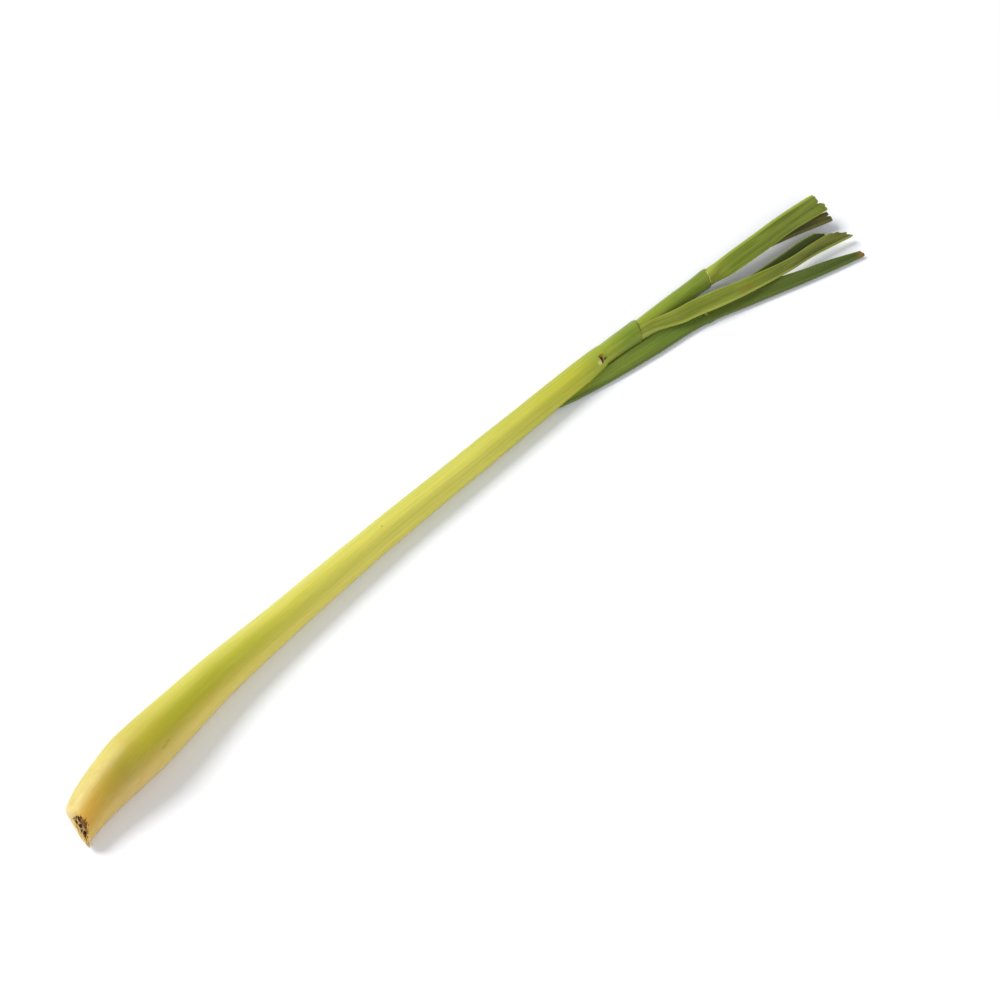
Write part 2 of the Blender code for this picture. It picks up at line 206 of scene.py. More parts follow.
def polar(degrees, radius=1.0):
    """The (y, z) offset at those directions and radii."""
    angle = np.radians(degrees)
    return np.stack([np.cos(angle), np.sin(angle)], -1) * np.asarray(radius, float)[..., None]


def smooth(t):
    """0 to 1 with a soft start and end."""
    t = np.clip(t, 0.0, 1.0)
    return t * t * (3.0 - 2.0 * t)


def bump(value, centre, width):
    """1 at the centre, falling off over the width."""
    return np.exp(-(((value - centre) / width) ** 2))


def wander(seed, u, v=0.0):
    """Smooth random values from -1 to 1 over u and v, with a new one at each whole number."""
    table = np.random.default_rng(seed).uniform(-1.0, 1.0, (61, 67))
    u, v = np.broadcast_arrays(np.asarray(u, float), np.asarray(v, float))
    i, j = np.floor(u).astype(int), np.floor(v).astype(int)
    s, t = smooth(u - i), smooth(v - j)
    corner = [[table[(i + a) % 61, (j + b) % 67] for b in (0, 1)] for a in (0, 1)]
    low = corner[0][0] * (1 - t) + corner[0][1] * t
    high = corner[1][0] * (1 - t) + corner[1][1] * t
    return low * (1 - s) + high * s


def stalk_line(x):
    """The middle of the stalk at each x."""
    values = along(STALK, x)
    return np.stack([np.asarray(x, float), values[..., 0], values[..., 1] * FLAT], -1)


def core_line(x):
    """The middle of the inner leaves at each x."""
    values = along(CORE, x)
    return np.concatenate([np.asarray(x, float)[..., None], values], -1)


def skin(line, x, degrees, radius):
    """Points at those directions and radii round the line, square to it."""
    x, degrees, radius = np.broadcast_arrays(*(np.asarray(v, float) for v in (x, degrees, radius)))
    run = line(x + 1.0) - line(x - 1.0)
    side = np.stack([-run[..., 1], run[..., 0], np.zeros_like(x)], -1)
    side /= np.linalg.norm(side, axis=-1, keepdims=True)
    out = polar(degrees, radius)
    points = line(x) + side * out[..., :1]
    points[..., 2] += out[..., 1]
    return points


def cut_reach(degrees, radius):
    """How far along x the cut's plane lies past CUT_X, at those directions and radii."""
    out = polar(degrees, radius)
    return CUT_ACROSS * out[..., 0] + CUT_UP * out[..., 1]


def rim_reach(degrees, step):
    """The same at the skin, whose radius depends on where the cut meets it."""
    reach = np.zeros_like(degrees)
    for _ in range(6):
        reach = cut_reach(degrees, along(STALK, CUT_X + reach)[..., 1] + step)
    return reach


def cross(shape, x, u):
    """The blade's section at x, u steps along its path from the near margin round the keel to the far one."""
    keel = along(shape["keel"], x)
    near_width, near_way = np.moveaxis(along(shape["near"], x), -1, 0)
    far_width, far_way = np.moveaxis(along(shape["far"], x), -1, 0)
    turn = np.where(near_way > far_way, 1.0, -1.0)
    near_out = near_way + 90.0 * turn
    far_out = far_way - 90.0 * turn + 360.0 * turn
    near_reach = np.clip((HALF - u) / HALF, 0.0, 1.0)
    far_reach = np.clip((u - HALF - ARC) / HALF, 0.0, 1.0)
    corner = near_out + (far_out - near_out) * np.clip((u - HALF) / ARC, 0.0, 1.0)
    near_curl, far_curl = shape["curl"]
    point = keel + polar(corner, np.full_like(x, FOLD))
    point = point + polar(near_way + near_curl * near_reach / 2, near_width * near_reach)
    point = point + polar(far_way + far_curl * far_reach / 2, far_width * far_reach)
    if shape["clasp"]:
        radius, near_end, far_end, start, end = shape["clasp"]
        foot = along(CORE, x) + polar(near_end + (far_end - near_end) * u / ACROSS, np.full_like(x, radius))
        share = smooth((x - start) / (end - start))[..., None]
        point = foot + (point - foot) * share
    if shape["clear"]:
        room, start, end = shape["clear"]
        off = point - along(CORE, x)
        away = np.linalg.norm(off, axis=-1, keepdims=True)
        keep = along(room, x) + GAP + 0.1 + BLADE / 2
        push = np.clip(keep - away, 0.0, None) * ((x >= start) & (x <= end))[..., None]
        point = point + off / np.maximum(away, 1e-6) * push
    if shape is SIDE_BLADE:
        off = point - (keel + np.array([1.5, 0.3]))  # from the middle of the fold
        swell = 0.35 * bump(x, SIDE_COLLAR, 1.3)
        point = point + off / np.linalg.norm(off, axis=-1, keepdims=True) * swell[..., None]
    return point, turn


# Mesh


def to_row_frame(points):
    """Metres in the row frame, from the tables' millimetres: the rest mount gives the offset."""
    rest = next(mount for mount in frame["record"]["mounts"] if mount["name"] == "rest")["pos_m"]
    start = stalk_line(np.array(REST_AT))
    offset = np.array([rest[0] - start[0] * MM, rest[1] - start[1] * MM, 0.0])
    return points * MM + offset


def place(name, data):
    """A new object in the scene."""
    made = bpy.data.objects.new(name, data)
    bpy.context.scene.collection.objects.link(made)
    return made


def make(name, points, faces, fibre, rim, edge, material, node=None):
    """A smooth mesh piece that rides on the stalk, with its grain coordinates and edge distances."""
    data = bpy.data.meshes.new(name)
    data.from_pydata(to_row_frame(points).tolist(), [], [tuple(map(int, face)) for face in faces])
    grain = data.attributes.new("fibre", "FLOAT_VECTOR", "POINT")
    grain.data.foreach_set("vector", fibre.astype(np.float32).ravel())
    for label, values in (("rim", rim), ("edge", edge)):
        distance = data.attributes.new(label, "FLOAT", "POINT")
        distance.data.foreach_set("value", values.astype(np.float32).ravel())
    data.materials.append(material)
    data.shade_smooth()
    data.set_sharp_from_angle(angle=math.radians(55.0))
    piece = place(name, data)
    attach(piece, "root")
    if node:
        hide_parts(node)
    return piece


def grid_faces(rows, columns, wrap=False, start=0, flip=False):
    """The four-sided faces of a grid of points, row by row."""
    i = np.arange(rows - 1)[:, None]
    j = np.arange(columns if wrap else columns - 1)[None, :]
    k = (j + 1) % columns
    corners = (i * columns + j, (i + 1) * columns + j, (i + 1) * columns + k, i * columns + k)
    quads = np.stack(np.broadcast_arrays(*corners), -1).reshape(-1, 4) + start
    return quads[:, ::-1] if flip else quads


def tube_faces(rows, columns):
    """Faces of a tube whose first and last rows are closed, each with a fan to an extra point."""
    faces = list(grid_faces(rows, columns, wrap=True))
    first, last = rows * columns, rows * columns + 1
    for k in range(columns):
        after = (k + 1) % columns
        faces.append((k, after, first))
        faces.append(((rows - 1) * columns + after, (rows - 1) * columns + k, last))
    return faces


def with_ends(values):
    """The rows' values in one list, then the means of the first and last row for the closing points."""
    ends = np.stack([values[0].mean(0), values[-1].mean(0)])
    return np.concatenate([values.reshape(-1, *values.shape[2:]), ends])


def tube(name, points, fibre, rim, edge, material, node=None):
    """A closed tube from rows of points."""
    faces = tube_faces(*points.shape[:2])
    points, fibre, rim, edge = map(with_ends, (points, fibre, rim, edge))
    return make(name, points, faces, fibre, rim, edge, material, node)


def leaf_sheet(name, middle, out, thickness, fibre, rim, edge, material, node=None):
    """A thin sheet: two faces, 1 and -1 as the grain's third value, and a wall round its border."""
    rows, columns = middle.shape[:2]
    half = out * thickness[..., None] / 2
    count = rows * columns
    points, fibres = [], []
    for sign in (1.0, -1.0):
        points.append((middle + half * sign).reshape(-1, 3))
        values = fibre.copy()
        values[..., 2] = sign
        fibres.append(values.reshape(-1, 3))
    border = list(range(columns))
    border += [i * columns + columns - 1 for i in range(1, rows)]
    border += [(rows - 1) * columns + j for j in range(columns - 2, -1, -1)]
    border += [i * columns for i in range(rows - 2, 0, -1)]
    faces = [*grid_faces(rows, columns), *grid_faces(rows, columns, start=count, flip=True)]
    faces += [(a, b, b + count, a + count) for a, b in zip(border, border[1:] + border[:1])]
    points, fibre = np.concatenate(points), np.concatenate(fibres)
    rim, edge = np.tile(rim.ravel(), 2), np.tile(edge.ravel(), 2)
    return make(name, points, faces, fibre, rim, edge, material, node)


# Pieces


def grain(x, radius, direction, before, after):
    """The grain coordinates of a rolled leaf: x along it, then the y and z offsets from its middle.

    The wall rows before and after the skin take those of its first and last row.
    """
    x, radius = (np.pad(values, ((before, after), (0, 0)), mode="edge") for values in (x, radius))
    around = polar(np.broadcast_to(direction, radius.shape), radius)
    return np.concatenate([x[..., None], around], -1)


def outer_sheath(material):
    """The bulb and lower stalk in one rolled sheath: its free margin, its slanting cut and its torn lip."""
    columns, length = 192, 297.0
    # One round from the margin back to it, so the near side's 30 to 210 degrees are 390 to 570 here.
    turn = np.append(np.arange(columns) / columns, 1.0 - 0.6 / 360.0)
    direction = MARGIN + 360.0 * turn
    step = LAP * (turn - 0.5) + 0.16 * smooth((turn - 0.975) / 0.025)
    lip = 0.5 * wander(11, turn * 15.0) + 0.3 * wander(12, turn * 47.0)
    lip += 1.6 * polar(direction - 45.0)[..., 0]
    lip -= 1.3 * bump(direction, 487.0, 6.0) - 0.8 * bump(direction, 503.0, 8.0)
    eaten = 2.9 * bump(direction, 478.0, 38.0) * (0.80 + 0.20 * wander(13, turn * 50.0))
    eaten += 0.12 * wander(14, turn * 70.0)
    drawn_out = 1.6 * bump(direction, 385.0, 45.0)
    drawn_out -= 0.7 * (bump(direction, 208.0, 22.0) + bump(direction, 568.0, 22.0))
    reach = rim_reach(direction, step)
    # One row at each station, closer together at the cut and at the lip.
    spacing = ((0.0, 12.0, 37), (12.8, 285.0, 250), (285.8, length, 22))
    stations = np.concatenate([np.linspace(*part) for part in spacing])[:, None]
    to_cut = np.clip(1.0 - stations / 40.0, 0.0, 1.0) ** 1.3
    near_cut = np.clip(1.0 - stations / 9.0, 0.0, 1.0) ** 2
    to_lip = np.clip((stations - 286.0) / 11.0, 0.0, 1.0)
    x = CUT_X + stations * (SHEATH_END - CUT_X) / length + reach * to_cut + lip * to_lip
    x += (eaten - drawn_out) * near_cut
    radius = along(STALK, x)[..., 1] + step
    radius += 0.10 * wander(15, x / 23.0, direction / 40.0) + 0.05 * wander(16, x / 7.0, direction / 25.0)
    radius += 0.010 * wander(17, x / 90.0, turn * 150.0) + 0.02 * wander(18, x / 60.0, turn * 47.0)
    dents = 0.13 * bump(x, 40.0, 0.9) * bump(direction, 508.0, 6.0)
    dents += 0.1 * bump(x, 42.2, 0.7) * bump(direction, 504.0, 5.0)
    radius -= dents
    radius += 0.6 * bump(direction, 388.0, 50.0) * bump(x, 8.0, 14.0)
    roll = 0.35 + 1.9 * bump(direction, 372.0, 80.0)
    turned_in = np.clip(1.0 - stations / roll, 0.0, 1.0)
    radius -= roll * (1.0 - np.sqrt(1.0 - turned_in**2))
    radius -= 0.28 * to_lip**3
    outside = skin(stalk_line, x, direction, radius)
    flesh = 0.4 + 1.2 * smooth((direction - 236.0) / 44.0) * smooth((452.0 - direction) / 60.0)
    flesh += 0.2 * wander(19, direction / 17.0)
    lean_in = radius[0] - np.clip(flesh, 0.3, None)
    hollow = np.full_like(reach, BUTT_RADIUS + GAP)
    narrow = np.minimum(hollow, lean_in)
    cut_wall = [
        skin(stalk_line, x[0] + depth, direction, inner)
        for depth, inner in ((8.0, hollow), (4.0, hollow), (1.4, narrow), (0.5, lean_in), (0.0, lean_in))
    ]
    mouth_wall = [
        skin(stalk_line, x[-1] - back, direction, inner)
        for back, inner in ((0.05, 4.5), (1.0, 4.49), (4.0, 4.48), (5.0, 4.47))
    ]
    points = np.stack([*cut_wall, *outside, *mouth_wall])
    points[..., 2] = np.maximum(points[..., 2], 0.0)  # nothing goes below the surface
    before, after = len(cut_wall), len(mouth_wall)
    fibre = grain(x, radius, direction, before, after)
    cut_edge = np.exp(-stations / 0.4) * (0.12 + 0.6 * bump(direction, 502.0, 40.0))
    spoiled = np.exp(-stations / (0.4 + 0.9 * bump(direction, 486.0, 18.0)))
    spoiled *= bump(direction, 488.0, 24.0)
    lip_edge = np.exp(-(length - stations) / 0.3) * 0.4
    rim = np.zeros(points.shape[:2])
    rim[:before] = 0.12 + 0.7 * bump(direction, 500.0, 45.0)
    rim[: before - 2] = 1.0
    rim[before:-after] = np.maximum(np.maximum(cut_edge, spoiled), lip_edge)
    rim[-after:] = 0.5
    edge = np.zeros_like(rim)
    edge[before:-after] = stations
    edge[-after:] = length
    return tube("rolled_outer_sheath", points, fibre, rim, edge, material, "outer_sheath")


def inner_sheath(node, profile, room, lean, seed, material):
    """A sheath that comes out of the one before: its collar and the mouth that the next leaf leaves by."""
    columns = 144
    turn = np.arange(columns) / columns
    direction = MARGIN + 360.0 * turn
    start, end = profile[0][0], profile[-1][0]
    x = np.concatenate([np.arange(start, end - 4.0, 0.8), np.arange(end - 4.0, end, 0.2), [end]])
    to_end = np.clip((x - end + 4.0) / 4.0, 0.0, 1.0)[:, None]
    ragged = 0.12 * wander(seed, turn * 37.0) + 0.10 * wander(seed + 1, turn * 9.0)
    at = x[:, None] + (lean * polar(direction)[..., 0] + ragged) * to_end
    radius = along(profile, np.broadcast_to(x[:, None], at.shape))[..., 0]
    radius = radius + 0.07 * wander(seed + 2, at / 11.0, direction / 50.0)
    radius += 0.02 * wander(seed + 3, at / 60.0, turn * 70.0)
    outside = skin(core_line, at, direction, radius)
    inside = [
        skin(core_line, at[-1] - back, direction, along(room, at[-1] - back)[..., 0] + GAP * share)
        for back, share in ((0.1, 1.35), (0.8, 1.1), (3.0, 1.0), (7.0, 1.0))
    ]
    points = np.stack([*outside, *inside])
    fibre = grain(at, radius, direction, 0, len(inside))
    rim = np.full(points.shape[:2], 0.8)
    rim[: len(x)] *= np.exp(-(end - x[:, None]) / 0.45)
    edge = fibre[..., 0] - start
    return tube(f"{node}_sheath", points, fibre, rim, edge, material, node)


def blade_piece(name, shape, material, node=None):
    """A folded blade: thin margins, a midrib along the keel, veins, and a torn end."""
    seed = shape["seed"]
    side = np.linspace(0.0, HALF, 27)
    u = np.concatenate([side, HALF + np.linspace(0.0, ARC, 9)[1:-1], HALF + ARC + side])
    start = shape["clasp"][3] if shape["clasp"] else shape["keel"][0][0]
    near_trim, keel_trim, far_trim = shape["trim"]
    tip = max(shape["trim"])
    across = 2.0 * u / ACROSS - 1.0
    trim = keel_trim + (np.where(across < 0, near_trim, far_trim) - keel_trim) * np.abs(across)
    tear = wander(100 + seed, u * 1.15) + 0.45 * wander(110 + seed, u * 3.3)
    ends = np.minimum(trim + shape["teeth"] * tear, tip - shape["blunt"])
    for where, width, depth in shape["slits"]:
        ends = ends - depth * bump(u, where, width)
    shear_from = tip - 30.0
    x = np.concatenate([np.arange(start, shear_from, 1.1), np.linspace(shear_from, tip, 40)])
    at = x[:, None] + np.zeros_like(u)
    late = shear_from + (at - shear_from) * (ends - shear_from) / (tip - shear_from)
    at = np.where(at < shear_from, at, late)
    steps = np.broadcast_to(u, at.shape)
    point, turn = cross(shape, at, steps)
    ahead, _ = cross(shape, at, np.clip(steps + 0.05, 0.0, ACROSS))
    back, _ = cross(shape, at, np.clip(steps - 0.05, 0.0, ACROSS))
    tangent = ahead - back
    tangent /= np.linalg.norm(tangent, axis=-1, keepdims=True)
    out = np.stack([tangent[..., 1], -tangent[..., 0]], -1) * turn[..., None]
    near_width, far_width = (along(shape[half], at)[..., 0] for half in ("near", "far"))
    far_reach = np.clip((steps - HALF - ARC) / HALF, 0, 1) * far_width
    reach = np.where(steps < HALF, -(HALF - steps) / HALF * near_width, far_reach)
    on_near_half = steps < ACROSS / 2
    margin = np.minimum(steps, ACROSS - steps) / HALF * np.where(on_near_half, near_width, far_width)
    free = smooth((at - start - 12.0) / 18.0) if shape["clasp"] else smooth((at - 300.0) / 20.0)
    flutter = 0.22 * wander(120 + seed, at / 9.0, np.where(on_near_half, 3.0, 9.0)) * np.exp(-margin / 1.6)
    flutter += 0.05 * wander(130 + seed, at / 16.0, reach / 1.6)
    veins = 0.025 * np.cos(reach * 2 * math.pi / 0.62) * smooth(margin / 0.5)
    shift = (flutter + veins) * free
    if "crease" in shape:
        place, start_crease, depth = shape["crease"]
        shift = shift - depth * smooth((place - steps) / 0.5) * smooth((at - start_crease) / 34.0)
    if shape is SIDE_BLADE:
        shift = shift * 0.5
    point = point + out * shift[..., None]
    end_gap = ends - at
    thickness = 0.30 + 0.24 * smooth(margin / 1.5) + 0.10 * bump(steps, ACROSS / 2, 1.1)
    thickness *= 0.55 + 0.45 * smooth(end_gap / 1.2)
    thickness *= 0.35 + 0.65 * smooth((at - start) / 6.0)
    middle = np.concatenate([at[..., None], point], -1)
    normal = np.concatenate([np.zeros_like(at)[..., None], out], -1)
    fibre = np.stack([at, reach, np.zeros_like(at)], -1)
    rim = np.exp(-np.clip(end_gap, 0, None) / 0.8)
    return leaf_sheet(name, middle, normal, thickness, fibre, rim, margin, material, node)


def root_face(material):
    """The floor of the cut: broken rings of rolled sheath, sunk below the torn layers round them."""
    columns = 200
    direction = MARGIN + 360.0 * np.arange(columns) / columns
    radius = np.linspace(BUTT_RADIUS, 0.15, 60)[:, None] + np.zeros(columns)
    ring = (radius + 0.18 * wander(21, radius / 1.1, direction / 30.0)) / 0.6
    layer = np.floor(ring)
    crest = np.sin(math.pi * (ring - layer)) ** 0.6
    height = 0.5 + 0.5 * wander(22, layer * 3.7, direction / 9.0)
    height += 0.3 * wander(23, layer * 5.1, direction / 3.1)
    out = crest * np.clip(height, 0.0, None) * 1.25
    face = skin(stalk_line, CUT_X + cut_reach(direction, radius) + 2.4 - out, direction, radius)
    side = []
    for depth, share in ((8.0, 0.93), (4.5, 0.98), (2.3, 1.0)):
        r = np.full(columns, BUTT_RADIUS * share)
        side.append(skin(stalk_line, CUT_X + cut_reach(direction, r) + depth, direction, r))
    points = np.stack([*side, *face])
    fibre = grain(out, radius, direction, len(side), 0)
    fibre[: len(side), :, 0] = 0.0
    unused = np.zeros(points.shape[:2])
    return tube("cut_root_face", points, fibre, unused, unused, material, "root_butt")


def torn_layers(material):
    """Torn edges of the inner sheaths, side by side along the cut and drawn out to its lower corner."""
    columns, rows = 120, 14
    # Each layer's offset across, its start and end along the cut, its height, its bow and how fresh it is.
    layers = (
        (4.1, -2.4, 4.2, -1.3, 0.0, 0.0),
        (3.0, -3.5, 5.2, -0.5, 0.02, 0.75),
        (1.9, -3.6, 6.8, 0.2, 0.05, 1.0),
        (0.7, -3.6, 7.4, 0.3, 0.05, 1.0),
        (-0.6, -3.4, 6.4, 0.2, 0.02, 0.8),
    )
    for number, (offset, start, end, height, bow, fresh) in enumerate(layers):
        run = np.linspace(start, end, columns)
        share = np.linspace(0.0, 1.0, rows)[:, None]
        edge = smooth((run - start) / 1.6)
        tear = 0.16 * wander(31 + number, run / 2.3) + 0.05 * wander(41 + number, run / 0.8)
        torn = 2.6 * np.clip(wander(71 + number, run / 1.6) - 0.35, 0.0, None) * smooth((4.6 - run) / 1.5)
        tall = (height + tear - torn - 1.6 * (1.0 - edge)) * smooth((end - run) / 1.8) + 0.1
        across = offset - bow * run**2 * 0.5 + 0.12 * wander(51 + number, run / 2.6)
        direction = 120.0 + np.degrees(np.arctan2(run, across))
        r = np.hypot(run, across)
        foot = 0.25 + 2.75 * smooth((5.9 - r) / 1.6)
        x = CUT_X + cut_reach(direction, r) + foot * (1.0 - share) - tall * share
        points = skin(stalk_line, x, direction, r)
        normal = skin(stalk_line, x, 120.0, 1.0) - skin(stalk_line, x, 120.0, 0.0)
        thickness = 0.66 - 0.30 * share + 0.0 * run
        fibre = np.stack([np.broadcast_to(run, x.shape), x * 0.8, np.full_like(x, 3.0 * number)], -1)
        below = (1.0 - share) * (foot + tall)
        name = f"torn_root_layer_{number + 1}"
        bright = np.full_like(x, fresh)
        leaf_sheet(name, points, normal, thickness, fibre, below, bright, material)


def root_fibres(material):
    """Frayed strands that stand out of the cut, most of them at its lower corner."""
    rng = np.random.default_rng(61)
    points, faces, fibre, rim = [], [], [], []
    for _ in range(26):
        low = rng.random() < 0.7
        direction = rng.normal(200.0, 7.0) if low else rng.uniform(90.0, 200.0)
        radius = rng.uniform(4.2, 6.0) if low else rng.uniform(2.5, 4.6)
        foot = CUT_X + 0.4 + float(cut_reach(np.array(direction), np.array(radius)))
        base = skin(stalk_line, np.array(foot), direction, radius)
        length = rng.uniform(0.6, 1.6) if low else rng.uniform(0.5, 1.1)
        heading = np.array([-0.55, -0.72, -0.38]) + rng.normal(0.0, 0.18, 3)
        heading /= np.linalg.norm(heading)
        droop = rng.normal(0.0, 0.25, 3)
        width = rng.uniform(0.07, 0.14)
        across = np.cross(heading, [0.0, 0.0, 1.0])
        across /= np.linalg.norm(across)
        up = np.cross(across, heading)
        begin = len(points)
        for k in range(4):
            share = k / 3.0
            centre = base + heading * length * share + droop * share**2
            thin = width * (1.0 - 0.8 * share)
            for angle in (90.0, 210.0, 330.0):
                away = across * math.cos(math.radians(angle)) + up * math.sin(math.radians(angle))
                points.append(centre + away * thin)
                fibre.append((length * share, direction * 0.1, radius))
                rim.append(0.3 * (1.0 - share))
        for k in range(3):
            for side in range(3):
                a, b = begin + 3 * k + side, begin + 3 * k + (side + 1) % 3
                faces.append((a, b, b + 3, a + 3))
        faces.append((begin + 2, begin + 1, begin))
        faces.append((begin + 9, begin + 10, begin + 11))
    points, rim = np.array(points), np.array(rim)
    points[:, 2] = np.maximum(points[:, 2], 0.02)
    make("root_fibres", points, faces, np.array(fibre), rim, np.ones(len(points)), material)


def ligule(name, line, at, radius, start, end, height, flare, lean, seed, material, slot):
    """A papery collar scale that stands round the mouth of a sheath."""
    direction = np.linspace(start, end, 90)
    share = np.linspace(0.0, 1.0, 12)[:, None]
    edge = smooth((direction - start) / 14.0) * smooth((end - direction) / 14.0)
    ragged = 0.75 + 0.35 * wander(seed, direction / 9.0) + 0.25 * wander(seed + 1, direction / 2.6)
    tall = height * edge * ragged
    r = radius + flare * share**1.5 + 0.06 * wander(seed + 2, direction / 6.0, share * 2.0)
    x = at + lean * polar(direction)[..., 0] + tall * share - 0.5 * (1 - share)
    points = skin(line, x, direction, r)
    normal = skin(line, x, direction, r + 1.0) - points
    thickness = (0.20 - 0.10 * share) + 0.0 * direction
    around = np.broadcast_to(np.radians(direction) * radius, x.shape)
    fibre = np.stack([x, around, np.zeros_like(x)], -1)
    below = (1.0 - share) * (0.5 + tall)
    leaf_sheet(name, points, normal, thickness, fibre, below, np.ones_like(x), material)


# Finishes


def link(source, target):
    target.id_data.links.new(source, target)


def add(kind, inputs, tree=None, **settings):
    """A node with its settings, and its inputs either linked from a socket or set to a value.

    It goes into the tree of the sockets among its inputs, unless it is given one.
    """
    sockets = [value for value in inputs.values() if isinstance(value, bpy.types.NodeSocket)]
    node = (tree or sockets[0].id_data).nodes.new(kind)
    for key, value in settings.items():
        setattr(node, key, value)
    for key, value in inputs.items():
        if isinstance(value, bpy.types.NodeSocket):
            link(value, node.inputs[key])
        else:
            node.inputs[key].default_value = value
    return node


def reckon(operation, *values):
    """The result of a sum on sockets or numbers."""
    return add("ShaderNodeMath", dict(enumerate(values)), operation=operation).outputs[0]


def plus(first, second):
    return reckon("ADD", first, second)


def minus(first, second):
    return reckon("SUBTRACT", first, second)


def times(first, second):
    return reckon("MULTIPLY", first, second)


def blend(share, first, second, how="MIX"):
    """The second colour laid over the first by that share."""
    node = add("ShaderNodeMix", {0: share, 6: first, 7: second}, data_type="RGBA", blend_type=how)
    return node.outputs[2]


def lay(colour, mask, amount, tint, how="MIX"):
    """The colour with a tint laid over it where the mask is, at most by that amount."""
    return blend(times(mask, amount), colour, tint, how)


def spread(value, low, high, start=0.0, end=1.0):
    """The value carried softly from the range low to high into start to end."""
    inputs = {0: value, 1: low, 2: high, 3: start, 4: end}
    return add("ShaderNodeMapRange", inputs, interpolation_type="SMOOTHSTEP").outputs[0]


def near(value, centre, width):
    """1 where the value is at the centre, falling smoothly to 0 at the width."""
    away = reckon("ABSOLUTE", minus(value, centre))
    return spread(away, 0.0, width, 1.0, 0.0)


def noise(vector, scale, detail, roughness=0.5):
    """Cloudy values round a half."""
    inputs = {"Vector": vector, "Scale": scale, "Detail": detail, "Roughness": roughness}
    return add("ShaderNodeTexNoise", inputs).outputs[0]


def vector_sum(operation, first, second):
    return add("ShaderNodeVectorMath", {0: first, 1: second}, operation=operation).outputs[0]


def rgb(red, green, blue):
    """Linear colour from the 0 to 255 values of a painter's swatch."""
    return (*(((v / 255 + 0.055) / 1.055) ** 2.4 if v > 10 else v / 3294.6 for v in (red, green, blue)), 1.0)


def group(name, outputs, **inputs):
    """A node group with the grain and other named inputs, its given sockets and its results."""
    tree = bpy.data.node_groups.new(name, "ShaderNodeTree")
    for label, value in (("Fibre", (0, 0, 0)), *inputs.items()):
        kind = "NodeSocketVector" if isinstance(value, tuple) else "NodeSocketFloat"
        socket = tree.interface.new_socket(label.replace("_", " "), in_out="INPUT", socket_type=kind)
        socket.default_value = value
    for label in outputs:
        tree.interface.new_socket(label, in_out="OUTPUT", socket_type="NodeSocketFloat")
    return tree, tree.nodes.new("NodeGroupInput").outputs, tree.nodes.new("NodeGroupOutput").inputs


def vein_group():
    """Parallel veins along the grain: a height for the relief and a mask for the colour."""
    tree, given, result = group("parallel_veins", ("Height", "Mask"), Veins_per_mm=2.0, Run=0.02)
    run = add("ShaderNodeCombineXYZ", {0: given["Run"], 1: 1.0, 2: 1.0}).outputs[0]
    fibre = vector_sum("MULTIPLY", given["Fibre"], run)
    fine = noise(fibre, given["Veins per mm"], 3.0, 0.6)
    broad = noise(fibre, times(given["Veins per mm"], 0.27), 2.0)
    height = plus(times(fine, 0.6), times(broad, 0.4))
    link(height, result["Height"])
    link(spread(height, 0.40, 0.62), result["Mask"])
    return tree


def patch_group():
    """Soft patches that are drawn out along the grain."""
    tree, given, result = group("soft_patches", ("Mask",), Size=10.0, Stretch=4.0, Low=0.4, High=0.65)
    rate = reckon("DIVIDE", 1.0, given["Size"])
    run = reckon("DIVIDE", rate, given["Stretch"])
    rates = add("ShaderNodeCombineXYZ", {0: run, 1: rate, 2: rate}).outputs[0]
    cloud = noise(vector_sum("MULTIPLY", given["Fibre"], rates), 1.0, 3.0)
    link(spread(cloud, given["Low"], given["High"]), result["Mask"])
    return tree


def mark_group():
    """One mark with a ragged outline, at a place on the grain."""
    tree, given, result = group("brown_mark", ("Mask",), Place=(0, 0, 0), Size=(1, 1, 1), Ragged=0.5)
    off = vector_sum("SUBTRACT", given["Fibre"], given["Place"])
    off = vector_sum("DIVIDE", off, given["Size"])
    away = add("ShaderNodeVectorMath", {0: off}, operation="LENGTH").outputs["Value"]
    cloud = noise(vector_sum("MULTIPLY", given["Fibre"], (0.5, 1.6, 1.6)), 1.3, 4.0)
    wobble = times(minus(cloud, 0.5), times(given["Ragged"], 3.0))
    link(spread(plus(away, wobble), 0.45, 1.0, 1.0, 0.0), result["Mask"])
    return tree


VEINS, PATCHES, MARK = vein_group(), patch_group(), mark_group()


def use(which, **inputs):
    """The outputs of a node group with its inputs linked or set."""
    named = {key.replace("_", " "): value for key, value in inputs.items()}
    return add("ShaderNodeGroup", named, node_tree=which).outputs


def patches(fibre, size, stretch, low, high):
    return use(PATCHES, Fibre=fibre, Size=size, Stretch=stretch, Low=low, High=high)["Mask"]


def marked(colour, fibre, marks, amount):
    """The colour with marks laid on it, each a place, its size, how ragged it is and its tint."""
    for place, size, ragged, tint in marks:
        mask = use(MARK, Fibre=fibre, Place=place, Size=size, Ragged=ragged)["Mask"]
        colour = lay(colour, mask, amount, rgb(*tint))
    return colour


def new_finish(name, roughness, coat, relief, subsurface=0.0):
    """A new material, its shader's inputs, the height of its relief and the grain coordinates."""
    made = bpy.data.materials.new(name)
    made.use_nodes = True
    tree = made.node_tree
    shader = tree.nodes["Principled BSDF"]
    settings = {
        "Roughness": roughness,
        "Coat Weight": coat,
        "Coat Roughness": 0.35,
        "Subsurface Weight": subsurface,
        "Subsurface Radius": (0.9, 0.8, 0.3),
        "Subsurface Scale": 0.0015,
        "Specular IOR Level": 0.3,
    }
    for label, value in settings.items():
        shader.inputs[label].default_value = value
    fibre = add("ShaderNodeAttribute", {}, tree, attribute_name="fibre").outputs["Vector"]
    raised = add("ShaderNodeBump", {"Strength": relief, "Distance": 0.0004}, tree)
    link(raised.outputs[0], shader.inputs["Normal"])
    return made, shader.inputs, raised.inputs["Height"], fibre


def split(fibre):
    return add("ShaderNodeSeparateXYZ", {0: fibre}).outputs


